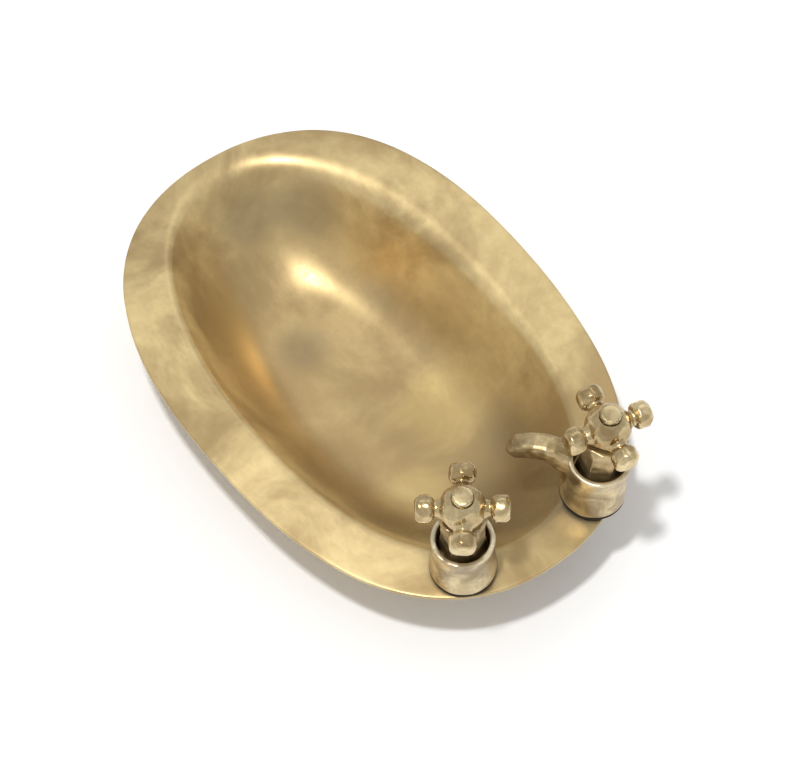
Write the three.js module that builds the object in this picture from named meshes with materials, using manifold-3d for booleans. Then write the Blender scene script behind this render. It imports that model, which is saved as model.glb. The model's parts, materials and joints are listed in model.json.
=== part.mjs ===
// Brass soap dish in the form of an oval bath, with two miniature cross-handle taps on its rim.
// Millimetres. +Z is up, +X runs along the dish towards the taps, and the origin is the middle
// of the flat underside, so the dish stands on z = 0.
import * as THREE from "three";
import { mergeVertices } from "three/addons/utils/BufferGeometryUtils.js";
import Module from "manifold-3d";

const wasm = await Module();
wasm.setup();

// ---- driving dimensions ----

const GAP = 0.3; // clearance between pieces that are screwed, brazed or turned together

const BASIN = {
  halfLength: 82.5,
  halfWidth: 55.8,
  rimEdgeHeight: 29,
  wall: 1.5,
  rimSlopeDegrees: 6,
  shoulderRadius: 3,
  broadShoulderRadius: 9,
  broadTowardsDegrees: 135,
  shoulderEndDegrees: 56,
  floorThickness: 1.8,
  segments: 64,
};
// The well was beaten slightly askew: away from the taps it drifts to one side by `drift`.
const CREST = { halfLength: 75.8, halfWidth: 43.5, centreX: -3.2, centreY: 0.3, exponent: 2.23, drift: 2 };
const FLOOR = { halfLength: 36, halfWidth: 16, centreX: -3.2, centreY: 0.3, exponent: 2.2, drift: 1 };

const TAP = { leanDegrees: 4.5, baseHeight: 31.2, handleHeight: 35.7 };
// `sunk` is how much further one gland nut is screwed down than the other.
const PLAIN_TAP = { x: 68.75, y: -20.4, leanTowardsDegrees: -50.5, armDegrees: 53.4, sunk: 0 };
const SPOUT_TAP = { x: 70.9, y: 22.1, leanTowardsDegrees: 38, armDegrees: 79.8, sunk: 1.6 };

const COLLAR = { baseRadius: 9.2, waistRadius: 8.3, lipRadius: 8.7, height: 17.4, boreRadius: 7.2, floor: 11 };
const STUD = { radius: 1.6, bottom: -7.4, top: 42.3 };
const STUD_HOLE = STUD.radius + GAP;
const GASKET = { radius: 8.8, bottom: -0.8, top: -0.2 };
const GLAND = {
  footFlats: 11.8,
  footTop: 16.9,
  neckFlats: 10.4,
  headFlats: 11.4,
  cornerDegrees: 53.5,
  bottom: COLLAR.floor + GAP,
  headBottom: 27.1,
  top: 29.9,
};
const THRUST_WASHER = { radius: 3.6, bottom: 30.2, top: 30.6 };
const HUB = { radius: 6.5, bottom: 30.9, top: 42.3 };
const KNOB = { radius: 3.8, from: 7.5, to: 12.6 };
const ARM_RADIUS = 2.1;
const CAP = { radius: 2.9, bottom: 41.5, top: 43.5, recess: 41.2 };
const UNDER_WASHER = { radius: 3.2, bottom: -4.1, top: -3.5 };
const FIXING_NUT = { flats: 5.5, bottom: -6.8, top: -4.4 };

const SPOUT = { towardsDegrees: 222, lugReach: 9.7, lugHalfWidth: 4.8, lugTop: 16.2 };

// ---- materials, one per piece ----

const brass = { color: 0xc2a468, roughness: 0.34, metalness: 1 };
const darkBrass = { color: 0x9c8153, roughness: 0.42, metalness: 1 };
const polishedBrass = { color: 0xd2bd8a, roughness: 0.24, metalness: 1 };
const fibre = { color: 0x2a231c, roughness: 0.85, metalness: 0 };

// ---- geometry helpers ----

const radians = THREE.MathUtils.degToRad;

// A triangle list made watertight and turned into a solid that can be cut and joined.
function solid(geometry) {
  const bare = geometry.clone();
  bare.deleteAttribute("normal");
  bare.deleteAttribute("uv");
  const welded = mergeVertices(bare, 1e-4);
  return new wasm.Manifold(
    new wasm.Mesh({
      numProp: 3,
      vertProperties: new Float32Array(welded.attributes.position.array),
      triVerts: new Uint32Array(welded.index.array),
    }),
  );
}

function geometryOf(body) {
  const mesh = body.getMesh();
  const geometry = new THREE.BufferGeometry();
  geometry.setAttribute("position", new THREE.BufferAttribute(mesh.vertProperties, 3));
  geometry.setIndex(new THREE.BufferAttribute(mesh.triVerts, 1));
  return geometry;
}

function indexed(positions, faces) {
  const geometry = new THREE.BufferGeometry();
  geometry.setAttribute("position", new THREE.Float32BufferAttribute(positions, 3));
  geometry.setIndex(faces);
  return geometry;
}

// Turns a closed [radius, height] loop about +Z. The loop runs anticlockwise seen with the
// radius to the right, which puts the faces outwards.
function turned(loop, segments = 32) {
  const points = [...loop, loop[0]].map(([radius, height]) => new THREE.Vector2(radius, height));
  return new THREE.LatheGeometry(points, segments).rotateX(Math.PI / 2);
}

function cylinder(radius, bottom, top, segments = 32) {
  const shape = new THREE.CylinderGeometry(radius, radius, top - bottom, segments);
  return shape.rotateX(Math.PI / 2).translate(0, 0, (bottom + top) / 2);
}

function ring(outerRadius, innerRadius, bottom, top, segments = 32) {
  const loop = [
    [innerRadius, bottom],
    [outerRadius, bottom],
    [outerRadius, top],
    [innerRadius, top],
  ];
  return turned(loop, segments);
}

function hexagon(acrossFlats, bottom, top) {
  return cylinder(acrossFlats / Math.sqrt(3), bottom, top, 6);
}

// ---- basin: one beaten shell of even thickness ----

function ovalPoint(angle, halfLength, halfWidth, exponent) {
  const power = 2 / exponent;
  const cos = Math.cos(angle);
  const sin = Math.sin(angle);
  const x = halfLength * Math.sign(cos) * Math.abs(cos) ** power;
  const y = halfWidth * Math.sign(sin) * Math.abs(sin) ** power;
  return new THREE.Vector2(x, y);
}

// The outer edge is an oval a little squarer at the tap end than a true ellipse.
function edgePoint(angle) {
  const point = ovalPoint(angle, BASIN.halfLength, BASIN.halfWidth, 2.16);
  const along = point.x / BASIN.halfLength;
  point.y *= 1 - 0.03 * along + 0.11 * along * along;
  return point;
}

function insetOval(oval, angle, inset) {
  const at = (a) => ovalPoint(a, oval.halfLength, oval.halfWidth, oval.exponent);
  const tangent = at(angle + 0.02).sub(at(angle - 0.02)).normalize();
  const inwards = new THREE.Vector2(-tangent.y, tangent.x);
  const point = at(angle).addScaledVector(inwards, inset);
  const along = Math.min(point.x, 0) / oval.halfLength;
  return new THREE.Vector2(point.x + oval.centreX, point.y + oval.centreY + oval.drift * along * along);
}

// Height of the crest where the sloping rim turns down into the well.
function crestHeight(angle) {
  const rimWidth = edgePoint(angle).distanceTo(insetOval(CREST, angle, 0));
  return BASIN.rimEdgeHeight + rimWidth * Math.tan(radians(BASIN.rimSlopeDegrees));
}

// One radial run of the upper surface, from the outer edge over the rolled shoulder, down the
// well wall and across the floor to its middle.
function upperRun(angle) {
  const run = [];
  const edge = edgePoint(angle);
  run.push(new THREE.Vector3(edge.x, edge.y, BASIN.rimEdgeHeight));
  const crest = crestHeight(angle);
  const slope = radians(BASIN.rimSlopeDegrees);
  const facing = Math.max(0, Math.cos(angle - radians(BASIN.broadTowardsDegrees)));
  const radius = BASIN.shoulderRadius + (BASIN.broadShoulderRadius - BASIN.shoulderRadius) * facing ** 1.5;
  for (let step = 0; step <= 6; step++) {
    const turn = -slope + (step / 6) * (radians(BASIN.shoulderEndDegrees) + slope);
    const plan = insetOval(CREST, angle, radius * (Math.sin(turn) + Math.sin(slope)));
    run.push(new THREE.Vector3(plan.x, plan.y, crest + radius * (Math.cos(turn) - Math.cos(slope))));
  }
  const top = run[run.length - 1];
  const foot = insetOval(FLOOR, angle, 0);
  const fall = top.z - BASIN.floorThickness;
  const wall = new THREE.CubicBezierCurve(
    new THREE.Vector2(0, 0),
    new THREE.Vector2(0.22, 0.36),
    new THREE.Vector2(0.5, 1),
    new THREE.Vector2(1, 1),
  );
  for (let step = 1; step <= 9; step++) {
    const { x: inwards, y: down } = wall.getPoint(step / 9);
    const x = THREE.MathUtils.lerp(top.x, foot.x, inwards);
    const y = THREE.MathUtils.lerp(top.y, foot.y, inwards);
    run.push(new THREE.Vector3(x, y, top.z - down * fall));
  }
  const middle = new THREE.Vector3(FLOOR.centreX, FLOOR.centreY, BASIN.floorThickness);
  run.push(run[run.length - 1].clone().lerp(middle, 0.5));
  return run;
}

// The underside: the upper surface moved in by the wall thickness, flattened where it stands.
function lowerGrid(upper) {
  const count = upper.length;
  return upper.map((run, column) =>
    run.map((point, row) => {
      const before = run[Math.max(row - 1, 0)];
      const after = run[Math.min(row + 1, run.length - 1)];
      const inwards = new THREE.Vector3().subVectors(after, before);
      const left = upper[(column + 1) % count][row];
      const right = upper[(column + count - 1) % count][row];
      const around = new THREE.Vector3().subVectors(left, right);
      const up = around.cross(inwards).normalize();
      const below = point.clone().addScaledVector(up, -BASIN.wall);
      const onFloor = point.z < BASIN.floorThickness + 0.01;
      below.z = onFloor ? 0 : Math.max(below.z, 0);
      return onFloor ? new THREE.Vector3(point.x, point.y, 0) : below;
    }),
  );
}

function basinShell() {
  const columns = BASIN.segments;
  const upper = [];
  for (let column = 0; column < columns; column++) {
    upper.push(upperRun((2 * Math.PI * column) / columns));
  }
  const lower = lowerGrid(upper);
  const loops = upper.map((run, column) => [...lower[column].toReversed(), ...run]);
  const rows = loops[0].length;
  const positions = loops.flat().flatMap((point) => point.toArray());
  const underMiddle = positions.length / 3;
  positions.push(FLOOR.centreX, FLOOR.centreY, 0);
  const upperMiddle = underMiddle + 1;
  positions.push(FLOOR.centreX, FLOOR.centreY, BASIN.floorThickness);
  const faces = [];
  for (let column = 0; column < columns; column++) {
    const here = column * rows;
    const next = ((column + 1) % columns) * rows;
    for (let row = 0; row < rows - 1; row++) {
      faces.push(here + row, next + row, next + row + 1);
      faces.push(here + row, next + row + 1, here + row + 1);
    }
    faces.push(underMiddle, next, here);
    faces.push(upperMiddle, here + rows - 1, next + rows - 1);
  }
  return indexed(positions, faces);
}

function basin() {
  let body = solid(basinShell());
  for (const tap of [PLAIN_TAP, SPOUT_TAP]) {
    const hole = cylinder(STUD_HOLE, -12, 4, 24).applyMatrix4(tapFrame(tap));
    body = body.subtract(solid(hole));
  }
  return geometryOf(body);
}

// ---- taps: every piece is built about +Z and then set on its leaning axis ----

function tapFrame(tap) {
  const lean = radians(TAP.leanDegrees);
  const towards = radians(tap.leanTowardsDegrees);
  const axis = new THREE.Vector3(
    Math.sin(lean) * Math.cos(towards),
    Math.sin(lean) * Math.sin(towards),
    Math.cos(lean),
  );
  const across = new THREE.Vector3(0, 1, 0).cross(axis).normalize();
  const third = axis.clone().cross(across);
  const frame = new THREE.Matrix4().makeBasis(across, third, axis);
  return frame.setPosition(tap.x, tap.y, TAP.baseHeight);
}

const collarOutside = [
  [8.9, 0],
  [COLLAR.baseRadius, 0.6],
  [9, 3],
  [8.6, 7.5],
  [COLLAR.waistRadius, 11.5],
  [COLLAR.waistRadius, 14],
  [8.6, 15.2],
  [COLLAR.lipRadius, 16.5],
  [8.4, COLLAR.height],
];

// A flared cup with a thick rolled lip, hollow down to its own floor.
function collar() {
  return turned([
    [STUD_HOLE, 0],
    ...collarOutside,
    [7.6, COLLAR.height],
    [COLLAR.boreRadius, 16.4],
    [COLLAR.boreRadius, COLLAR.floor],
    [STUD_HOLE, COLLAR.floor],
  ]);
}

// Hexagonal neck on a wider foot that fills the cup, with a wider head under the handle.
function glandNut(sunk) {
  const foot = solid(hexagon(GLAND.footFlats, GLAND.bottom + sunk, GLAND.footTop));
  const neck = solid(hexagon(GLAND.neckFlats, GLAND.bottom + sunk, GLAND.headBottom + 0.5));
  const head = solid(hexagon(GLAND.headFlats, GLAND.headBottom, GLAND.top));
  const bore = solid(cylinder(STUD_HOLE, GLAND.bottom - 1, GLAND.top + 1, 24));
  const nut = foot.add(neck).add(head).subtract(bore);
  return geometryOf(nut).rotateZ(radians(GLAND.cornerDegrees - 30));
}

// One arm along +X: a thin neck into a short filed drum.
function handleArm() {
  const middle = (KNOB.from + KNOB.to) / 2;
  const profile = [
    [0, 3],
    [ARM_RADIUS, 3],
    [ARM_RADIUS, KNOB.from - 0.4],
    [3.1, KNOB.from],
    [KNOB.radius, middle - 1.5],
    [KNOB.radius, middle + 1.3],
    [2.9, KNOB.to - 0.1],
    [0, KNOB.to],
  ];
  const points = profile.map(([radius, along]) => new THREE.Vector2(radius, along));
  return new THREE.LatheGeometry(points, 12).rotateZ(-Math.PI / 2);
}

function crossHandle(armDegrees) {
  const hub = turned(
    [
      [STUD_HOLE, HUB.bottom],
      [4.4, HUB.bottom],
      [5.8, 33],
      [HUB.radius, 35.6],
      [6.2, 38.2],
      [5.2, 40.6],
      [4, HUB.top],
      [CAP.radius + GAP, HUB.top],
      [CAP.radius + GAP, CAP.recess],
      [STUD_HOLE, CAP.recess],
    ],
    24,
  );
  let body = solid(hub);
  const bore = solid(cylinder(STUD_HOLE + 1, HUB.bottom - 1, HUB.top + 1, 24));
  for (const quarter of [0, 1, 2, 3]) {
    const arm = handleArm().translate(0, 0, TAP.handleHeight);
    arm.rotateZ(radians(armDegrees + 90 * quarter));
    body = body.add(solid(arm).subtract(bore));
  }
  return geometryOf(body);
}

// Round-headed cap nut on the end of the stud.
function capNut() {
  return turned(
    [
      [0, CAP.top - 0.8],
      [STUD_HOLE, CAP.top - 0.8],
      [STUD_HOLE, CAP.bottom],
      [CAP.radius, CAP.bottom],
      [CAP.radius, CAP.top - 0.4],
      [CAP.radius - 0.4, CAP.top],
      [0, CAP.top],
    ],
    24,
  );
}

function fixingNut() {
  const body = solid(hexagon(FIXING_NUT.flats, FIXING_NUT.bottom, FIXING_NUT.top));
  const bore = solid(cylinder(STUD_HOLE, FIXING_NUT.bottom - 1, FIXING_NUT.top + 1, 24));
  return geometryOf(body.subtract(bore));
}

// ---- spout: a lug brazed to the well side of one collar, with an arm arching over the well ----

function spoutLug() {
  const { lugReach, lugHalfWidth } = SPOUT;
  const plan = new THREE.Shape([
    new THREE.Vector2(3, -lugHalfWidth),
    new THREE.Vector2(lugReach - 1.2, -lugHalfWidth + 0.3),
    new THREE.Vector2(lugReach, -lugHalfWidth + 1.8),
    new THREE.Vector2(lugReach, lugHalfWidth - 1.8),
    new THREE.Vector2(lugReach - 1.2, lugHalfWidth - 0.3),
    new THREE.Vector2(3, lugHalfWidth),
  ]);
  const lug = new THREE.ExtrudeGeometry(plan, { depth: SPOUT.lugTop - 0.6, bevelEnabled: false });
  return lug.translate(0, 0, 0.6);
}

// [reach from the tap's axis, height of the middle, depth, width] along the arm, root to tip.
const armStations = [
  [4, 13.2, 6.6, 5.6],
  [9.2, 15, 6.4, 5.4],
  [12, 16.7, 5.6, 5.2],
  [14.6, 17.9, 5, 5.2],
  [17.6, 17.6, 4.8, 5],
  [20.8, 16.5, 4.7, 4.8],
  [23, 14.9, 4.3, 4.6],
  [24.2, 13.7, 2.8, 3.4],
];

// The arm is filed from bar: rounded oblong sections, each square to the arm's run.
function spoutArm() {
  const sides = 12;
  const positions = [];
  armStations.forEach(([reach, height, depth, width], index) => {
    const before = armStations[Math.max(index - 1, 0)];
    const after = armStations[Math.min(index + 1, armStations.length - 1)];
    const tilt = Math.atan2(after[1] - before[1], after[0] - before[0]);
    for (let side = 0; side < sides; side++) {
      const edge = ovalPoint((2 * Math.PI * side) / sides, width / 2, depth / 2, 2.8);
      positions.push(reach - edge.y * Math.sin(tilt), edge.x, height + edge.y * Math.cos(tilt));
    }
  });
  const faces = [];
  const last = (armStations.length - 1) * sides;
  for (let side = 0; side < sides; side++) {
    const next = (side + 1) % sides;
    for (let start = 0; start < last; start += sides) {
      faces.push(start + side, start + next, start + sides + next);
      faces.push(start + side, start + sides + next, start + sides + side);
    }
    if (side > 0 && side < sides - 1) {
      faces.push(0, side + 1, side, last, last + side, last + side + 1);
    }
  }
  return indexed(positions, faces);
}

function spout() {
  const clearance = turned([[0, -2], ...collarOutside.map(([r, z]) => [r + GAP, z]), [8.5, 25], [0, 25]]);
  const whole = solid(spoutLug()).add(solid(spoutArm()));
  const cut = whole.subtract(solid(clearance));
  return geometryOf(cut).rotateZ(radians(SPOUT.towardsDegrees));
}

// ---- assembly ----

const dish = new THREE.Group();
dish.name = "bath_soap_dish";

function place(name, geometry, finish, frame) {
  if (frame) geometry.applyMatrix4(frame);
  const mesh = new THREE.Mesh(geometry, new THREE.MeshStandardMaterial(finish));
  mesh.name = name;
  dish.add(mesh);
}

function addTap(prefix, tap) {
  const frame = tapFrame(tap);
  const upperFrame = frame.clone().multiply(new THREE.Matrix4().makeTranslation(0, 0, -tap.sunk));
  const washer = (size) => ring(size.radius, STUD_HOLE, size.bottom, size.top, 24);
  const stud = cylinder(STUD.radius, STUD.bottom + tap.sunk, STUD.top, 16);
  place(`${prefix}_collar`, collar(), brass, frame);
  place(`${prefix}_gasket`, washer(GASKET), fibre, frame);
  place(`${prefix}_gland_nut`, glandNut(tap.sunk), darkBrass, upperFrame);
  place(`${prefix}_stud`, stud, darkBrass, upperFrame);
  place(`${prefix}_thrust_washer`, washer(THRUST_WASHER), darkBrass, upperFrame);
  place(`${prefix}_cross_handle`, crossHandle(tap.armDegrees), polishedBrass, upperFrame);
  place(`${prefix}_cap_nut`, capNut(), polishedBrass, upperFrame);
  place(`${prefix}_under_washer`, washer(UNDER_WASHER), darkBrass, frame);
  place(`${prefix}_fixing_nut`, fixingNut(), darkBrass, frame);
}

place("basin", basin(), brass);
addTap("plain_tap", PLAIN_TAP);
addTap("spout_tap", SPOUT_TAP);
place("spout", spout(), brass, tapFrame(SPOUT_TAP));

export default dish;
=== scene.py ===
"""Brass soap dish in the form of an oval bath, with two miniature cross-handle taps."""

import json
import math

import bpy
from mathutils import Matrix, Vector, noise


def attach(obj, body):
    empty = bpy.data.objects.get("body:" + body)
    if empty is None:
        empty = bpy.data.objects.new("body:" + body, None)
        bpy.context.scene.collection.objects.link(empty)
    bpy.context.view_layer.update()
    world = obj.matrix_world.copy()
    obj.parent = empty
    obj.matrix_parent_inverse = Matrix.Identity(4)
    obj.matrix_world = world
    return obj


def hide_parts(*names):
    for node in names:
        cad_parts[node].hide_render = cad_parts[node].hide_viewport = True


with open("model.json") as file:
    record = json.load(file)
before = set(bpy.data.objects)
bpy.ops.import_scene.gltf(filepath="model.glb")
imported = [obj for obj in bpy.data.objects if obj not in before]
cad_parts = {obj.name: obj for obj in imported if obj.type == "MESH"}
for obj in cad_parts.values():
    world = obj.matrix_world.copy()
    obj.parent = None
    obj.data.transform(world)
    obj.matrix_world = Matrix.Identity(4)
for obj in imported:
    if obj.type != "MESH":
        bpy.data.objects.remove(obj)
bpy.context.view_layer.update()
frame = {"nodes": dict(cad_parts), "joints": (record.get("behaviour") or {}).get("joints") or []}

MM = 0.001


# ---- basin ----
# The dish itself: one oval shell raised from brass sheet by hammer and planished smooth. A
# thin-edged rim slopes up to a rolled shoulder, which is broader at the far end, and the open
# well runs down to a slightly dished foot.

EDGE = {"half_length": 82.5, "half_width": 55.8, "square": 2.16, "height": 29.0}
CREST = {"half_length": 75.8, "half_width": 43.5, "square": 2.23, "drift": 2.0}
FOOT = {"half_length": 36.0, "half_width": 16.0, "square": 2.2, "drift": 1.0}
WELL_CENTRE = Vector((-3.2, 0.3))
WALL = 1.5
WALL_START = (0.22, 0.36)
WALL_FINISH = (0.5, 0.96)
FOOT_TOP = 1.8
FOOT_DISH = 0.9
RIM_SLOPE = math.radians(6)
ROLL_TIGHT, ROLL_BROAD = 3.0, 9.0
BROAD_TOWARDS = math.radians(135)
ROLL_END = math.radians(56)
RIM_TRIM, RIM_WANDER = 0.9993, 0.006
PLANISHING = [(26, Vector((0, 0, 0)), 0.34), (9, Vector((5, 2, 9)), 0.07)]
SMOOTH_FROM, SMOOTH_OVER = 2.4, 3.6
STANDS_BELOW = 0.9
LIP_ROUND = 0.35
BASIN_SIDES = 160
RIM_STEPS, ROLL_STEPS, WALL_STEPS, FOOT_STEPS = 6, 8, 14, 3


def begin(name, add, **size):
    """Adds a primitive with nothing else selected, and names it."""
    bpy.ops.object.select_all(action="DESELECT")
    add(**size)
    piece = bpy.context.object
    piece.name = name
    piece.data.name = name
    return piece


def pick(piece):
    """Makes a piece the only one that operators act on."""
    bpy.ops.object.select_all(action="DESELECT")
    piece.select_set(True)
    bpy.context.view_layer.objects.active = piece


def in_edit(piece, *steps):
    """Runs edit-mode steps with the whole piece selected first."""
    pick(piece)
    bpy.ops.object.mode_set(mode="EDIT")
    bpy.ops.mesh.select_all(action="SELECT")
    for step in steps:
        step()
    bpy.ops.object.mode_set(mode="OBJECT")


def finish_with(piece, kind, **settings):
    """Adds a modifier, sets it, and applies it."""
    pick(piece)
    bpy.ops.object.modifier_add(type=kind)
    modifier = piece.modifiers[-1]
    for key, value in settings.items():
        setattr(modifier, key, value)
    bpy.ops.object.modifier_apply(modifier=modifier.name)


def smooth(piece, degrees=180):
    """Shades a piece smooth, with edges sharper than the angle left crisp."""
    pick(piece)
    bpy.ops.object.shade_smooth()
    if degrees < 180:
        bpy.ops.object.shade_smooth_by_angle(angle=math.radians(degrees))


def draw_up(name, sides, rings):
    """A plain tube of so many rings, one millimetre apart, ready to be formed."""
    tube = begin(name, bpy.ops.mesh.primitive_circle_add, vertices=sides, radius=10 * MM)
    pick(tube)
    bpy.ops.object.mode_set(mode="EDIT")
    bpy.ops.mesh.select_all(action="SELECT")
    for _ in range(rings - 1):
        bpy.ops.mesh.extrude_region_move(TRANSFORM_OT_translate={"value": (0, 0, MM)})
    bpy.ops.object.mode_set(mode="OBJECT")
    return tube


def oval(turn, shape):
    """A point on a slightly squared oval, in millimetres."""
    power = 2 / shape["square"]
    cos, sin = math.cos(turn), math.sin(turn)
    x = shape["half_length"] * math.copysign(abs(cos) ** power, cos)
    y = shape["half_width"] * math.copysign(abs(sin) ** power, sin)
    return Vector((x, y))


def edge_point(turn):
    """The rim's outline, squarer at the tap end, with the slight wander of hand trimming."""
    point = oval(turn, EDGE)
    along = point.x / EDGE["half_length"]
    point.y *= 1 - 0.03 * along + 0.11 * along * along
    wander = noise.noise(Vector((3 * math.cos(turn), 3 * math.sin(turn), 0.4)))
    return point * (RIM_TRIM - RIM_WANDER * max(0.0, wander))


def inset_oval(turn, shape, inset):
    """A point of the well's oval, moved in by so many millimetres."""
    tangent = (oval(turn + 0.02, shape) - oval(turn - 0.02, shape)).normalized()
    point = oval(turn, shape) + Vector((-tangent.y, tangent.x)) * inset
    along = min(point.x, 0) / shape["half_length"]
    return point + WELL_CENTRE + Vector((0, shape["drift"] * along * along))


def wall_curve(share):
    """How far in and down the well's wall has come, each from 0 to 1."""
    rest = 1 - share
    early, late = 3 * rest * rest * share, 3 * rest * share * share
    return tuple(early * start + late * finish + share**3 for start, finish in zip(WALL_START, WALL_FINISH))


def crest_height(turn):
    width = (edge_point(turn) - inset_oval(turn, CREST, 0)).length
    return EDGE["height"] + width * math.tan(RIM_SLOPE)


def roll_point(turn, bend):
    """A point on the rolled shoulder, which is bent through `bend` from the level and is rolled
    broader at the far end."""
    facing = max(0.0, math.cos(turn - BROAD_TOWARDS))
    radius = ROLL_TIGHT + (ROLL_BROAD - ROLL_TIGHT) * facing**1.5
    inset = radius * (math.sin(bend) + math.sin(RIM_SLOPE))
    plan = inset_oval(turn, CREST, inset)
    fall = radius * (math.cos(RIM_SLOPE) - math.cos(bend))
    return Vector((plan.x, plan.y, crest_height(turn) - fall))


def basin_point(turn, ring):
    """Where a vertex of the drawn tube lies on the basin's upper surface."""
    if ring < RIM_STEPS:
        edge = edge_point(turn)
        crest = roll_point(turn, -RIM_SLOPE)
        return Vector((edge.x, edge.y, EDGE["height"])).lerp(crest, ring / RIM_STEPS)
    ring -= RIM_STEPS
    if ring <= ROLL_STEPS:
        return roll_point(turn, -RIM_SLOPE + (ROLL_END + RIM_SLOPE) * ring / ROLL_STEPS)
    ring -= ROLL_STEPS
    top = roll_point(turn, ROLL_END)
    foot = inset_oval(turn, FOOT, 0)
    if ring <= WALL_STEPS:
        inwards, down = wall_curve(ring / WALL_STEPS)
        plan = top.xy.lerp(foot, inwards)
        return Vector((plan.x, plan.y, top.z - down * (top.z - FOOT_TOP - FOOT_DISH)))
    ring -= WALL_STEPS
    share = ring / (2 * FOOT_STEPS)
    plan = foot.lerp(WELL_CENTRE, share)
    return Vector((plan.x, plan.y, FOOT_TOP + FOOT_DISH * (1 - share) ** 2))


def hammered(point):
    """The shallow unevenness that planishing leaves, in millimetres."""
    rise = sum(noise.noise(point / spacing + shift) * depth for spacing, shift, depth in PLANISHING)
    return rise * min(1.0, max(0.0, (point.z - SMOOTH_FROM) / SMOOTH_OVER))


def make_basin():
    rings = RIM_STEPS + ROLL_STEPS + WALL_STEPS + FOOT_STEPS + 1
    shell = draw_up("basin_shell", BASIN_SIDES, rings)
    inner_ring = set()
    for vertex in shell.data.vertices:
        turn = math.atan2(vertex.co.y, vertex.co.x)
        ring = round(vertex.co.z / MM)
        if ring == rings - 1:
            inner_ring.add(vertex.index)
        point = basin_point(turn, ring)
        point.z += hammered(point)
        vertex.co = point * MM
    for vertex in shell.data.vertices:
        vertex.select = vertex.index in inner_ring
    for edge in shell.data.edges:
        edge.select = all(index in inner_ring for index in edge.vertices)
    for face in shell.data.polygons:
        face.select = False
    pick(shell)
    bpy.context.tool_settings.mesh_select_mode = (False, True, False)
    bpy.ops.object.mode_set(mode="EDIT")
    bpy.ops.mesh.fill_grid(span=BASIN_SIDES // 4)
    bpy.ops.mesh.select_all(action="SELECT")
    bpy.ops.mesh.normals_make_consistent(inside=False)
    bpy.ops.object.mode_set(mode="OBJECT")
    if shell.data.polygons[-1].normal.z < 0:
        in_edit(shell, bpy.ops.mesh.flip_normals)
    finish_with(shell, "SOLIDIFY", thickness=WALL * MM, offset=-1, use_even_offset=False)
    finish_with(
        shell,
        "BEVEL",
        width=LIP_ROUND * MM,
        segments=2,
        limit_method="ANGLE",
        angle_limit=math.radians(60),
        use_clamp_overlap=False,
    )
    for vertex in shell.data.vertices:
        if vertex.co.z < STANDS_BELOW * MM:
            vertex.co.z = 0
    finish_with(shell, "SUBSURF", levels=1, render_levels=1)
    smooth(shell)
    return shell


basin = make_basin()
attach(basin, "dish")
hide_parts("basin")


def add_node(tree, kind, inputs=(), **settings):
    """Adds a shader node, with its settings, and values or links for its inputs."""
    made = tree.nodes.new(kind)
    for key, value in settings.items():
        setattr(made, key, value)
    for socket, value in dict(inputs).items():
        if isinstance(value, bpy.types.NodeSocket):
            tree.links.new(value, made.inputs[socket])
        else:
            made.inputs[socket].default_value = value
    return made


def tint(red, green, blue):
    """A colour given as 0 to 255 on screen, as the shader wants it."""
    linear = [((c / 255 + 0.055) / 1.055) ** 2.4 if c > 10 else c / 3295 for c in (red, green, blue)]
    return (*linear, 1)


def mix(tree, share, first, second):
    """Mixes two colours, or two values, by a share."""
    made = add_node(tree, "ShaderNodeMix", data_type="RGBA")
    for socket, value in ((0, share), (6, first), (7, second)):
        if isinstance(value, bpy.types.NodeSocket):
            tree.links.new(value, made.inputs[socket])
        else:
            made.inputs[socket].default_value = value
    return made.outputs[2]


def spread(tree, value, low, high, to_low=0.0, to_high=1.0):
    """Stretches part of a value's range over another range, and stops at its ends."""
    inputs = {"Value": value, "From Min": low, "From Max": high, "To Min": to_low, "To Max": to_high}
    return add_node(tree, "ShaderNodeMapRange", inputs, interpolation_type="SMOOTHSTEP").outputs[0]


def cloud(tree, place, scale, detail=4.0, rough=0.55, twist=0.0):
    """Soft noise at so many features to the metre."""
    inputs = {"Vector": place, "Scale": scale, "Detail": detail, "Roughness": rough, "Distortion": twist}
    return add_node(tree, "ShaderNodeTexNoise", inputs).outputs[0]


# The colour of painted shade in crevices and recesses.
PAINTED_SHADE_BROWN = tint(96, 78, 52)


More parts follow.
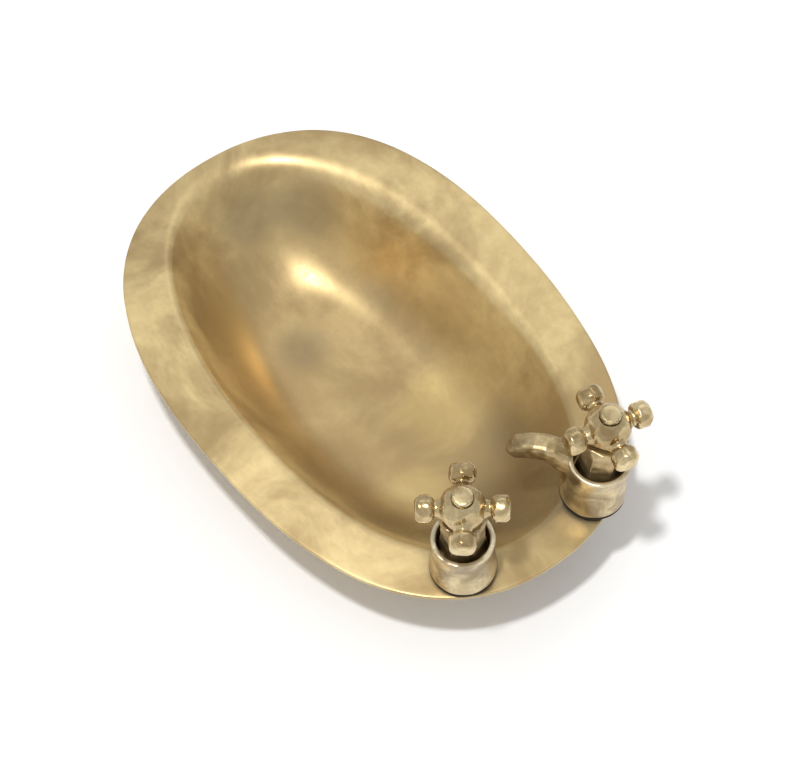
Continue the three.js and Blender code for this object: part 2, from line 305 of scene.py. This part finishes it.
def aged_brass(
    name, gold, brown, pale, polish, mottle,
    grain=0.1, shade_reach=2.5, wear=0.75, metal=1.0, levels=(), patches=(),
):
    """Brass gone brown in the air and rubbed bright again: clouded tone and pale worn edges, with fine
    polishing lines, and painted shade that turns the colour dark brown where ambient occlusion finds
    crevices and recesses. A level tints by height between two heights in millimetres. A patch is a
    centre and radius in millimetres, a colour and a strength."""
    finish = bpy.data.materials.new(name)
    finish.use_nodes = True
    tree = finish.node_tree
    surface = tree.nodes["Principled BSDF"]
    place = add_node(tree, "ShaderNodeTexCoord").outputs["Object"]
    broad = cloud(tree, place, mottle, 5, 0.6, 0.5)
    close = cloud(tree, place, mottle * 7, 4, 0.6)
    tone = mix(tree, spread(tree, broad, 0.36, 0.66), brown, gold)
    tone = mix(tree, spread(tree, close, 0.3, 0.7, 0.0, 0.3), tone, brown)
    height = add_node(tree, "ShaderNodeSeparateXYZ", {"Vector": place}).outputs["Z"]
    for low, high, colour, at_low, at_high in levels:
        tone = mix(tree, spread(tree, height, low * MM, high * MM, at_low, at_high), tone, colour)
    for centre, radius, colour, strength in patches:
        offset = add_node(
            tree, "ShaderNodeVectorMath", {0: place, 1: Vector(centre) * MM}, operation="DISTANCE"
        ).outputs["Value"]
        ragged = add_node(
            tree, "ShaderNodeMath", {0: broad, 1: -1.6 * radius * MM, 2: offset}, operation="MULTIPLY_ADD"
        ).outputs[0]
        share = spread(tree, ragged, -0.5 * radius * MM, 0.3 * radius * MM, strength, 0.0)
        tone = mix(tree, share, tone, colour)
    # Painted shade: the colour darkens where ambient occlusion finds crevices and recesses.
    painted_shade = add_node(tree, "ShaderNodeAmbientOcclusion", {"Distance": shade_reach * MM}, samples=8)
    tone = mix(tree, spread(tree, painted_shade.outputs["AO"], 0.3, 0.8, 0.55, 0.0), tone, PAINTED_SHADE_BROWN)
    exposed = add_node(tree, "ShaderNodeNewGeometry").outputs["Pointiness"]
    tone = mix(tree, spread(tree, exposed, 0.515, 0.57, 0.0, wear), tone, pale)
    lines = add_node(tree, "ShaderNodeMapping", {"Vector": place, "Scale": (1, 2.5, 1.5)}).outputs[0]
    rub = cloud(tree, lines, 420, 4, 0.65)
    dull = add_node(tree, "ShaderNodeMath", {0: broad, 1: rub, 2: 0.0}, operation="MULTIPLY_ADD").outputs[0]
    tree.links.new(tone, surface.inputs["Base Color"])
    tree.links.new(spread(tree, dull, 0.1, 0.45, polish - 0.06, polish + 0.1), surface.inputs["Roughness"])
    surface.inputs["Metallic"].default_value = metal
    relief = mix(tree, 0.5, close, rub)
    bump = add_node(tree, "ShaderNodeBump", {"Height": relief, "Strength": grain, "Distance": 0.2 * MM})
    tree.links.new(bump.outputs[0], surface.inputs["Normal"])
    return finish


def coat(piece, finish):
    """Gives a piece one finish all over."""
    piece.data.materials.clear()
    piece.data.materials.append(finish)


GOLD = tint(226, 203, 148)
BROWN = tint(176, 151, 106)
PALE = tint(244, 234, 206)
GREY_BROWN = tint(132, 118, 96)
DARK_BROWN = tint(108, 90, 66)
DEEP_BROWN = tint(146, 118, 78)
BRIGHT_GOLD = tint(220, 194, 128)
# Patches of tone on the basin. The two dark brown ones towards the tap end of the well are painted shade and
# painted dark reflection under the taps and spout. The grey-brown rings round the two collars are partly
# patina and partly painted shade. The other brown and grey-brown patches on the walls and floor are partly
# patina and partly painted dark reflection. The bright gold ones lighten the floor of the well.
BASIN_TONE_AND_SHADE_PATCHES = [
    ((12, 14, 2), 17, BRIGHT_GOLD, 0.45),
    ((30, -6, 2), 13, BRIGHT_GOLD, 0.35),
    ((58, 14, 12), 32, DARK_BROWN, 0.72),
    ((34, 26, 4), 13, GREY_BROWN, 0.45),
    ((40, -26, 8), 16, DARK_BROWN, 0.55),
    ((-27, -6, 2), 10, GREY_BROWN, 0.4),
    ((-27, 27, 5), 10, GREY_BROWN, 0.3),
    ((-68, 4, 16), 12, GREY_BROWN, 0.45),
    ((-60, 22, 16), 13, GREY_BROWN, 0.5),
    ((12, -24, 3), 18, DEEP_BROWN, 0.55),
    ((-20, -24, 4), 16, DEEP_BROWN, 0.45),
    ((68.8, -20.4, 31), 13, GREY_BROWN, 0.5),
    ((70.9, 22.1, 31), 13, GREY_BROWN, 0.45),
]
# The level makes the well browner towards its bottom.
basin_brass = aged_brass(
    "basin_brass", GOLD, BROWN, PALE, 0.39, mottle=30, grain=0.0, wear=0.0, metal=0.72,
    levels=[(8, 26, BROWN, 0.5, 0.0)], patches=BASIN_TONE_AND_SHADE_PATCHES,
)
coat(basin, basin_brass)


# ---- gaskets ----
# A thin ring under each tap, all but hidden and coloured near-black as painted shade: it shows only as a dark
# line where the collar meets the rim, and stands in for the shade in the gap there. Each is squeezed a little
# out of flat.

TAPS = {}
for joint in frame["joints"]:
    prefix = "plain_tap" if joint["name"].startswith("plain") else "spout_tap"
    axis = Vector(joint["axis"]).normalized()
    across = Vector((0, 1, 0)).cross(axis).normalized()
    turned = Matrix((across, axis.cross(across), axis)).transposed().to_4x4()
    TAPS[prefix] = Matrix.Translation(joint["pos_m"]) @ turned
SUNK = {"plain_tap": 0.0, "spout_tap": 1.6}
GASKET_PROFILE = [(5.0, -0.1), (9.0, -0.1), (9.25, -0.4), (9.1, -0.75), (5.0, -0.75)]


def turn_up(name, profile, sides):
    """Raises a ring of edges through [radius, height] stations in millimetres, as if turned."""
    (radius, height), *rest = profile
    piece = begin(
        name,
        bpy.ops.mesh.primitive_circle_add,
        vertices=sides,
        radius=radius * MM,
        location=(0, 0, height * MM),
    )
    bpy.ops.object.mode_set(mode="EDIT")
    bpy.ops.mesh.select_all(action="SELECT")
    for next_radius, next_height in rest:
        rise = (0, 0, (next_height - height) * MM)
        bpy.ops.mesh.extrude_region_move(TRANSFORM_OT_translate={"value": rise})
        share = next_radius / radius
        bpy.ops.transform.resize(value=(share, share, 1), center_override=(0, 0, next_height * MM))
        radius, height = next_radius, next_height
    bpy.ops.object.mode_set(mode="OBJECT")
    bpy.ops.object.transform_apply(location=True, rotation=True, scale=True)
    return piece


def close_round(piece):
    """Joins the first ring of a turned piece to its last."""

    def bridge():
        bpy.ops.mesh.select_all(action="DESELECT")
        bpy.ops.mesh.select_non_manifold()
        bpy.ops.mesh.bridge_edge_loops()
        bpy.ops.mesh.select_all(action="SELECT")
        bpy.ops.mesh.normals_make_consistent(inside=False)

    in_edit(piece, lambda: bpy.ops.mesh.select_mode(type="EDGE"), bridge)


def cap_ends(piece):
    """Closes the open ends of a turned piece with flat faces."""

    def fill():
        bpy.ops.mesh.select_all(action="DESELECT")
        bpy.ops.mesh.select_non_manifold()
        bpy.ops.mesh.edge_face_add()
        bpy.ops.mesh.select_all(action="SELECT")
        bpy.ops.mesh.normals_make_consistent(inside=False)

    in_edit(piece, lambda: bpy.ops.mesh.select_mode(type="EDGE"), fill)


def own_copy(piece, name):
    """A copy of a piece with its own mesh."""
    pick(piece)
    bpy.ops.object.duplicate(linked=False)
    made = bpy.context.object
    made.name = name
    made.data.name = name
    return made


def seat(piece, tap, lower=0.0, turn=0.0):
    """Sets a piece made about +Z on a tap's leaning axis, and fixes its place in its mesh."""
    drop = Matrix.Translation((0, 0, -lower * MM))
    piece.matrix_world = TAPS[tap] @ drop @ Matrix.Rotation(math.radians(turn), 4, "Z")
    pick(piece)
    bpy.ops.object.transform_apply(location=True, rotation=True, scale=True)


def roughened(piece, size, depth):
    """Moves each vertex a little along its normal, as files and castings leave a surface."""
    moves = [v.normal * noise.noise(v.co / (size * MM)) * depth * MM for v in piece.data.vertices]
    for vertex, move in zip(piece.data.vertices, moves):
        vertex.co += move


def make_gasket():
    ring = turn_up("gasket_shade_ring", GASKET_PROFILE, 64)
    close_round(ring)
    roughened(ring, 3, 0.12)
    finish_with(ring, "SUBSURF", levels=1, render_levels=1)
    smooth(ring, 50)
    return ring


# Near-black painted shade for the gap under each collar, with faint flecks.
gasket_shade_black = bpy.data.materials.new("gasket_shade_black")
gasket_shade_black.use_nodes = True
gasket_shade_tree = gasket_shade_black.node_tree
gasket_shade_place = add_node(gasket_shade_tree, "ShaderNodeTexCoord").outputs["Object"]
gasket_shade_fleck = cloud(gasket_shade_tree, gasket_shade_place, 900, 5, 0.7)
gasket_shade_tone = mix(gasket_shade_tree, spread(gasket_shade_tree, gasket_shade_fleck, 0.3, 0.7), tint(26, 21, 16), tint(58, 46, 32))
gasket_shade_surface = gasket_shade_tree.nodes["Principled BSDF"]
gasket_shade_tree.links.new(gasket_shade_tone, gasket_shade_surface.inputs["Base Color"])
gasket_shade_surface.inputs["Roughness"].default_value = 0.85
gasket_shade_bump = add_node(
    gasket_shade_tree, "ShaderNodeBump", {"Height": gasket_shade_fleck, "Strength": 0.4, "Distance": 0.2 * MM}
)
gasket_shade_tree.links.new(gasket_shade_bump.outputs[0], gasket_shade_surface.inputs["Normal"])

gasket_pattern = make_gasket()
for tap in TAPS:
    gasket = own_copy(gasket_pattern, f"{tap}_gasket_shade_ring")
    coat(gasket, gasket_shade_black)
    seat(gasket, tap)
    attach(gasket, "dish")
    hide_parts(f"{tap}_gasket")
bpy.data.objects.remove(gasket_pattern)


# ---- collars ----
# The tap bodies: flared cups cast in brass and turned, with a thick lip that was left with the
# marks of the file. Each is held down by the stud that passes through its floor.

COLLAR_PROFILE = [
    (1.9, 0.0), (8.7, 0.0), (9.1, 0.25), (9.2, 0.8), (9.15, 2.0), (8.95, 4.6), (8.65, 7.5), (8.4, 10.0),
    (8.3, 12.0), (8.3, 13.6), (8.45, 14.8), (8.65, 15.8), (8.7, 16.6), (8.68, 17.15), (8.5, 17.36),
    (8.0, 17.4),
    (7.5, 17.36), (7.25, 17.15), (7.22, 16.6), (7.2, 14.0), (7.2, 11.6), (6.9, 11.1), (6.0, 11.0),
    (1.9, 11.0),
]
LIP_HEIGHT = 15.5


def make_collar(name, shift):
    cup = turn_up(name, COLLAR_PROFILE, 72)
    close_round(cup)
    for vertex in cup.data.vertices:
        x, y, z = vertex.co / MM
        turn = math.atan2(y, x)
        if z > LIP_HEIGHT and math.hypot(x, y) > 7.3:
            nick = noise.noise(Vector((11 * math.cos(turn), 11 * math.sin(turn), shift)))
            swell = noise.noise(Vector((1.6 * math.cos(turn), 1.6 * math.sin(turn), shift + 4)))
            vertex.co.z += (0.16 * nick + 0.22 * swell) * MM
            vertex.co.xy *= 1 + 0.012 * nick
    roughened(cup, 4 + shift / 10, 0.1)
    finish_with(cup, "SUBSURF", levels=1, render_levels=1)
    smooth(cup)
    return cup


collar_brass = aged_brass(
    "collar_brass", tint(222, 204, 162), tint(152, 132, 100), PALE, 0.34, mottle=130, grain=0.1, shade_reach=0.9,
    wear=0.3, metal=0.85, levels=[(47.4, 48.3, PALE, 0.0, 0.6)],
)
for shift, tap in enumerate(TAPS):
    cup = make_collar(f"{tap}_cup", 3.0 * shift)
    coat(cup, collar_brass)
    seat(cup, tap)
    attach(cup, "dish")
    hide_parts(f"{tap}_collar")


# ---- spout ----
# A short arched spout filed from bar, brazed with its web to the side of one collar. The file
# left flats along it, and its tip is turned down and rounded over.

SPOUT_TOWARDS = 222.0
ARM_STATIONS = [
    (5.0, 12.8, 9.4, 7.6), (9.0, 14.4, 8.2, 7.2), (11.6, 15.9, 7.2, 6.9), (13.3, 16.8, 6.6, 6.7),
    (14.8, 17.2, 6.3, 6.6), (17.4, 16.8, 6.2, 6.4), (20.4, 15.8, 6.0, 6.2), (22.2, 14.7, 5.7, 6.0),
    (23.4, 13.6, 5.0, 5.4), (24.2, 12.8, 3.6, 4.2), (24.45, 12.5, 1.8, 2.4),
]
ARM_SQUARE = {"half_length": 0.5, "half_width": 0.5, "square": 3.2}
WEB_STATIONS = [(0.5, 9.3, 4.0), (4.0, 9.5, 4.5), (9.0, 9.8, 4.6), (13.0, 10.4, 4.0), (16.4, 10.0, 3.0)]
WEB_ROOT = 7.7


def make_arm():
    arm = draw_up("spout_arm", 16, len(ARM_STATIONS))
    count = len(ARM_STATIONS)
    for vertex in arm.data.vertices:
        index = round(vertex.co.z / MM)
        turn = math.atan2(vertex.co.y, vertex.co.x)
        reach, height, depth, width = ARM_STATIONS[index]
        before, after = ARM_STATIONS[max(index - 1, 0)], ARM_STATIONS[min(index + 1, count - 1)]
        tilt = math.atan2(after[1] - before[1], after[0] - before[0])
        side = oval(turn, ARM_SQUARE)
        rise = side.y * depth
        x, z = reach - rise * math.sin(tilt), height + rise * math.cos(tilt)
        vertex.co = Vector((x, side.x * width, z)) * MM
    cap_ends(arm)
    return arm


def make_web():
    """The web under the arm: a tapering wedge that fills the corner down to the base."""
    web = begin("spout_web", bpy.ops.mesh.primitive_cube_add, size=1)
    in_edit(web, lambda: bpy.ops.mesh.subdivide(number_cuts=3))
    for vertex in web.data.vertices:
        share = (vertex.co.z + 0.5) * (len(WEB_STATIONS) - 1)
        height, reach, half_width = WEB_STATIONS[round(share)]
        outwards = vertex.co.x + 0.5
        narrowing = 1 - 0.35 * outwards * outwards
        x = 5.0 + outwards * (reach - 5.0) - 0.9 * outwards * abs(2 * vertex.co.y) ** 3
        vertex.co = Vector((x, 2 * vertex.co.y * half_width * narrowing, height)) * MM
    return web


def unite(name, parts, voxel, passes):
    """Joins overlapping solids and melts them into one skin, as brazing and filing do."""
    bpy.ops.object.select_all(action="DESELECT")
    for part in parts:
        part.select_set(True)
    bpy.context.view_layer.objects.active = parts[0]
    bpy.ops.object.join()
    whole = bpy.context.object
    whole.name = name
    whole.data.name = name
    finish_with(whole, "REMESH", mode="VOXEL", voxel_size=voxel * MM)
    finish_with(whole, "SMOOTH", factor=0.5, iterations=passes)
    return whole


def cut_away(piece, cutter):
    """Takes the cutter's shape out of a piece and removes the cutter."""
    finish_with(piece, "BOOLEAN", operation="DIFFERENCE", solver="MANIFOLD", object=cutter)
    bpy.data.objects.remove(cutter)


def file_flat(piece, away, depth, centre=(0, 0, 0)):
    """Files a flat: cuts off what lies more than `depth` from the centre in one direction."""
    facing = Vector(away).normalized()
    point = (Vector(centre) + facing * depth) * MM
    in_edit(
        piece,
        lambda: bpy.ops.mesh.bisect(plane_co=point, plane_no=facing, use_fill=True, clear_outer=True),
    )


arm = make_arm()
spout = unite("spout_arm", [arm, make_web()], 0.16, 5)
root_cut = begin(
    "root_cut", bpy.ops.mesh.primitive_cylinder_add, vertices=48, radius=WEB_ROOT * MM, depth=60 * MM
)
cut_away(spout, root_cut)
roughened(spout, 2.6, 0.22)
smooth(spout, 60)
spout_brass = aged_brass(
    "spout_brass", tint(200, 180, 136), tint(140, 118, 82), PALE, 0.36, mottle=130, grain=0.06, shade_reach=2.0,
    wear=0.2, metal=0.9,
)
coat(spout, spout_brass)
seat(spout, "spout_tap", turn=SPOUT_TOWARDS)
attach(spout, "dish")
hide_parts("spout")


# ---- gland nuts ----
# Under each handle a hexagonal nut stands in the cup: a narrow neck below and a wider head above,
# filed from bar, with its corners taken off.

GLAND_CORNER = 53.5
FOOT_FLATS, GLAND_BOTTOM, FOOT_TOP_HEIGHT = 11.8, 11.3, 18.2
NECK_FLATS = 10.4
HEAD_FLATS, HEAD_BOTTOM, HEAD_TOP = 11.4, 27.1, 29.9


def hexagon(name, flats, bottom, top):
    """A six-sided bar with its corners turned to +X."""
    bar = begin(
        name,
        bpy.ops.mesh.primitive_cylinder_add,
        vertices=6,
        radius=flats / math.sqrt(3) * MM,
        depth=(top - bottom) * MM,
        location=(0, 0, (top + bottom) / 2 * MM),
        rotation=(0, 0, math.radians(30)),
    )
    bpy.ops.object.transform_apply(location=True, rotation=True, scale=True)
    return bar


def make_gland(lower):
    neck = hexagon("gland_neck", NECK_FLATS, GLAND_BOTTOM + lower, HEAD_BOTTOM + 0.5)
    skirt = hexagon("gland_skirt", FOOT_FLATS, GLAND_BOTTOM + lower, FOOT_TOP_HEIGHT)
    head = hexagon("gland_head", HEAD_FLATS, HEAD_BOTTOM, HEAD_TOP)
    for corner in range(6):
        turn = math.radians(60 * corner)
        file_flat(head, (math.cos(turn), math.sin(turn), 1.1), 5.1, (0, 0, HEAD_TOP - 2.2))
        file_flat(head, (math.cos(turn), math.sin(turn), -1.4), 5.2, (0, 0, HEAD_BOTTOM + 2.4))
    for vertex in skirt.data.vertices:
        if vertex.co.z > (FOOT_TOP_HEIGHT - 0.1) * MM:
            vertex.co.xy *= 0.9
    gland = unite("gland", [head, neck, skirt], 0.16, 4)
    roughened(gland, 2.4, 0.14)
    bore = begin("gland_bore", bpy.ops.mesh.primitive_cylinder_add, vertices=32, radius=1.9 * MM, depth=0.1)
    cut_away(gland, bore)
    smooth(gland, 50)
    return gland


gland_brass = aged_brass(
    "gland_brass", tint(204, 182, 138), tint(140, 120, 86), PALE, 0.34, mottle=160, grain=0.1, shade_reach=0.9,
    wear=0.3, metal=0.85,
)
for tap in TAPS:
    gland = make_gland(SUNK[tap])
    gland.name = gland.data.name = f"{tap}_hex_nut"
    coat(gland, gland_brass)
    seat(gland, tap, SUNK[tap], GLAND_CORNER)
    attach(gland, "dish")
    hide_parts(f"{tap}_gland_nut")


# ---- studs and thrust washers ----
# A brass stud runs up each tap from under the rim to the cap nut, and carries the handle on a thin
# washer. Both stay as turned; only the chamfered foot and the washer's edge can be seen.

hardware_brass = aged_brass(
    "hardware_brass", tint(204, 180, 132), tint(150, 124, 84), PALE, 0.36, mottle=160, grain=0.12
)
for tap in TAPS:
    for part in ("stud", "thrust_washer"):
        coat(frame["nodes"][f"{tap}_{part}"], hardware_brass)


# ---- cross handles ----
# Each handle is one brass casting: a round hub with four short necks that end in drums. The maker
# filed the drums and the hub by hand, so both are a patchwork of small soft-edged flats.

ARM_DEGREES = {"plain_tap": 53.4, "spout_tap": 79.8}
HANDLE_HEIGHT = 35.7
HUB_RADIUS, HUB_BOTTOM, HUB_TOP = 6.4, 30.9, 42.3
HUB_MIDDLE = 36.3
HUB_FLATS = [
    (12, 40, 6.05), (66, 22, 6.0), (121, 36, 5.95), (176, 24, 6.05), (228, 41, 6.0), (290, 27, 5.95),
    (335, 18, 6.1),
    (40, -26, 5.95), (105, -20, 6.05), (160, -30, 5.95), (222, -22, 6.05), (275, -32, 5.9), (330, -24, 6.05),
]
DRUM_MIDDLE, DRUM_RADIUS, DRUM_LENGTH = 10.05, 3.7, 5.1
DRUM_FLATS = [
    ((1.0, 0.5, 0.9), 3.3), ((1.0, -0.9, 0.3), 3.4), ((1.0, 0.1, -1.0), 3.45), ((0.15, 0.5, 1.0), 3.6),
    ((-0.2, -0.9, 0.5), 3.65), ((-0.1, -0.6, -0.9), 3.7), ((-1.0, 0.6, 0.8), 3.4), ((-1.0, -0.9, -0.2), 3.4),
]


def make_hub():
    hub = begin(
        "handle_hub",
        bpy.ops.mesh.primitive_uv_sphere_add,
        segments=32,
        ring_count=20,
        radius=HUB_RADIUS * MM,
        location=(0, 0, HUB_MIDDLE * MM),
    )
    bpy.ops.object.transform_apply(location=True, rotation=True, scale=True)
    centre = (0, 0, HUB_MIDDLE)
    for azimuth, rise, depth in HUB_FLATS:
        turn, lift = math.radians(azimuth), math.radians(rise)
        away = (math.cos(turn) * math.cos(lift), math.sin(turn) * math.cos(lift), math.sin(lift))
        file_flat(hub, away, depth, centre)
    file_flat(hub, (0, 0, 1), 0, (0, 0, HUB_TOP))
    file_flat(hub, (0, 0, -1), 0, (0, 0, HUB_BOTTOM))
    return hub


def make_drum():
    """One arm along +X: a narrow neck into a drum that is filed all round."""
    neck = turn_up(
        "arm_neck", [(3.2, 4.0), (2.7, 6.0), (2.2, 6.9), (2.3, 7.6), (2.8, 8.6)], 16
    )
    cap_ends(neck)
    drum = begin(
        "arm_drum",
        bpy.ops.mesh.primitive_cylinder_add,
        vertices=32,
        radius=DRUM_RADIUS * MM,
        depth=DRUM_LENGTH * MM,
        location=(0, 0, DRUM_MIDDLE * MM),
    )
    bpy.ops.object.transform_apply(location=True, rotation=True, scale=True)
    finish_with(drum, "BEVEL", width=1.5 * MM, segments=5, limit_method="ANGLE", angle_limit=math.radians(60))
    for (outwards, side, up), depth in DRUM_FLATS:
        file_flat(drum, (side, up, outwards), depth, (0, 0, DRUM_MIDDLE))
    bpy.ops.object.select_all(action="DESELECT")
    neck.select_set(True)
    drum.select_set(True)
    bpy.context.view_layer.objects.active = drum
    bpy.ops.object.join()
    return bpy.context.object


def make_handle():
    parts = [make_hub()]
    pattern = make_drum()
    for quarter in range(4):
        arm = own_copy(pattern, f"arm_{quarter}")
        spun = Matrix.Rotation(math.radians(97 * quarter), 4, "Z")
        level = Matrix.Rotation(math.radians(90), 4, "Y")
        out = Matrix.Rotation(math.radians(90 * quarter), 4, "Z")
        arm.matrix_world = Matrix.Translation((0, 0, HANDLE_HEIGHT * MM)) @ out @ level @ spun
        pick(arm)
        bpy.ops.object.transform_apply(location=True, rotation=True, scale=True)
        parts.append(arm)
    bpy.data.objects.remove(pattern)
    whole = unite("handle", parts, 0.15, 9)
    roughened(whole, 2.2, 0.16)
    bore = turn_up("handle_bore", [(1.9, 25), (1.9, 41.2), (3.15, 41.2), (3.15, 46)], 48)
    cap_ends(bore)
    cut_away(whole, bore)
    smooth(whole, 50)
    return whole


HUB_PATCHES = [
    (TAPS[tap] @ Vector((0, 0, (36 - SUNK[tap]) * MM)) / MM, 7.5, tint(150, 128, 92), 0.75) for tap in TAPS
]
handle_brass = aged_brass(
    "handle_brass", tint(232, 213, 168), tint(168, 144, 102), tint(248, 240, 214), 0.25,
    mottle=130, grain=0.04, shade_reach=2.4, wear=0.15, metal=0.95, patches=HUB_PATCHES,
)
handle_pattern = make_handle()
for tap in TAPS:
    handle = own_copy(handle_pattern, f"{tap}_four_arm_handle")
    coat(handle, handle_brass)
    seat(handle, tap, SUNK[tap], ARM_DEGREES[tap])
    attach(handle, f"{tap.split('_')[0]}_handle")
    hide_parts(f"{tap}_cross_handle")
bpy.data.objects.remove(handle_pattern)


# ---- cap nuts ----
# A flat round cap nut holds each handle down. It sits in the counterbore of the hub with a dark
# gap round it, its edge filed by hand and its face very slightly domed.

CAP_PROFILE = [
    (1.65, 42.6), (1.65, 41.5), (2.75, 41.5), (2.9, 41.8), (2.9, 43.0), (2.72, 43.4), (2.0, 43.5),
    (1.0, 43.52),
]


def make_cap():
    cap = turn_up("cap_disc", CAP_PROFILE, 40)
    cap_ends(cap)
    for turn in (15, 80, 150, 200, 265, 330):
        away = (math.cos(math.radians(turn)), math.sin(math.radians(turn)), 0.25)
        file_flat(cap, away, 2.85, (0, 0, 42.6))
    finish_with(cap, "BEVEL", width=0.12 * MM, segments=2, limit_method="ANGLE", angle_limit=math.radians(35))
    smooth(cap, 40)
    return cap


cap_pattern = make_cap()
for tap in TAPS:
    cap = own_copy(cap_pattern, f"{tap}_cap_disc")
    coat(cap, handle_brass)
    seat(cap, tap, SUNK[tap], 40.0 if tap == "plain_tap" else 95.0)
    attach(cap, "dish")
    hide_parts(f"{tap}_cap_nut")
bpy.data.objects.remove(cap_pattern)


# ---- washers and fixing nuts ----
# Under the rim a plain washer and a small hexagonal nut draw each collar down. Both are ordinary
# turned hardware, with the nut's corners chamfered.

WASHER_PROFILE = [(1.9, -4.1), (3.0, -4.1), (3.2, -3.9), (3.2, -3.65), (3.05, -3.5), (1.9, -3.5)]
NUT_FLATS, NUT_BOTTOM, NUT_TOP = 5.5, -6.8, -4.4


def make_washer():
    washer = turn_up("plain_washer", WASHER_PROFILE, 48)
    close_round(washer)
    smooth(washer, 40)
    return washer


def make_nut():
    nut = hexagon("hex_nut", NUT_FLATS, NUT_BOTTOM, NUT_TOP)
    for corner in range(6):
        turn = math.radians(60 * corner)
        file_flat(nut, (math.cos(turn), math.sin(turn), -1.3), 2.95, (0, 0, NUT_BOTTOM + 1.6))
    finish_with(nut, "BEVEL", width=0.15 * MM, segments=2, limit_method="ANGLE")
    bore = begin("nut_bore", bpy.ops.mesh.primitive_cylinder_add, vertices=32, radius=1.65 * MM, depth=0.1)
    cut_away(nut, bore)
    smooth(nut, 35)
    return nut


washer_pattern = make_washer()
nut_pattern = make_nut()
for tap in TAPS:
    for pattern, made_name, node in (
        (washer_pattern, "plain_washer", "under_washer"),
        (nut_pattern, "hex_fixing_nut", "fixing_nut"),
    ):
        piece = own_copy(pattern, f"{tap}_{made_name}")
        coat(piece, hardware_brass)
        seat(piece, tap)
        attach(piece, "dish")
        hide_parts(f"{tap}_{node}")
bpy.data.objects.remove(washer_pattern)
bpy.data.objects.remove(nut_pattern)


# ---- floor, light and camera ----
# A white studio table under an even white sky. One small strong lamp high on the viewer's side
# throws the shadow, and three faint panels lift the shoulder, the near wall and the far rim.

floor = begin("table_top", bpy.ops.mesh.primitive_plane_add, size=6)
table_white = bpy.data.materials.new("table_white")
table_white.use_nodes = True
table_white.node_tree.nodes["Principled BSDF"].inputs["Base Color"].default_value = (0.93, 0.93, 0.93, 1)
table_white.node_tree.nodes["Principled BSDF"].inputs["Roughness"].default_value = 0.9
coat(floor, table_white)

world = bpy.data.worlds.new("studio")
world.use_nodes = True
world.node_tree.nodes["Background"].inputs["Color"].default_value = (1.0, 1.0, 1.0, 1)
world.node_tree.nodes["Background"].inputs["Strength"].default_value = 0.65
bpy.context.scene.world = world
bpy.context.scene.view_settings.view_transform = "Standard"


def add_lamp(name, towards, distance, length, width, along, power):
    """An oblong soft lamp in the given direction from the dish, facing it."""
    lamp = bpy.data.lights.new(name, "AREA")
    lamp.shape = "RECTANGLE"
    lamp.size, lamp.size_y = length, width
    lamp.energy = power
    holder = bpy.data.objects.new(name, lamp)
    bpy.context.scene.collection.objects.link(holder)
    back = Vector(towards).normalized()
    up = back.cross(Vector(along)).normalized()
    turned = Matrix((up.cross(back), up, back)).transposed().to_4x4()
    holder.matrix_world = Matrix.Translation(back * distance) @ turned
    return holder


add_lamp("key_lamp", (0.135, -0.232, 0.963), 1.3, 0.075, 0.075, (1, 0, 0), 9)
add_lamp("top_panel", (-0.2, -0.1, 0.97), 1.2, 0.3, 0.2, (-0.2, 0.55, 0), 0.4)
add_lamp("side_panel", (0.16, -0.9, 0.36), 0.9, 0.6, 0.4, (1, 0, 0), 0.2)
add_lamp("far_panel", (-0.36, 0.56, 0.74), 2.0, 1.3, 0.5, (0.84, 0.54, 0), 1.8)

camera_data = bpy.data.cameras.new("camera")
camera_data.sensor_width = 36
camera_data.lens = 181.4
camera_data.clip_start, camera_data.clip_end = 0.05, 20
camera = bpy.data.objects.new("camera", camera_data)
bpy.context.scene.collection.objects.link(camera)
view_right = Vector((0.5939, 0.8046, 0)).normalized()
view_ahead = Vector((-0.4189, 0.3092, -0.8538)).normalized()
view_up = view_right.cross(view_ahead)
eye = -view_ahead * 1.11555 - view_right * -0.00658 - view_up * 0.00829 + Vector((0, 0, 0.029))
turned = Matrix((view_right, view_up, -view_ahead)).transposed().to_4x4()
camera.matrix_world = Matrix.Translation(eye) @ turned
bpy.context.scene.camera = camera
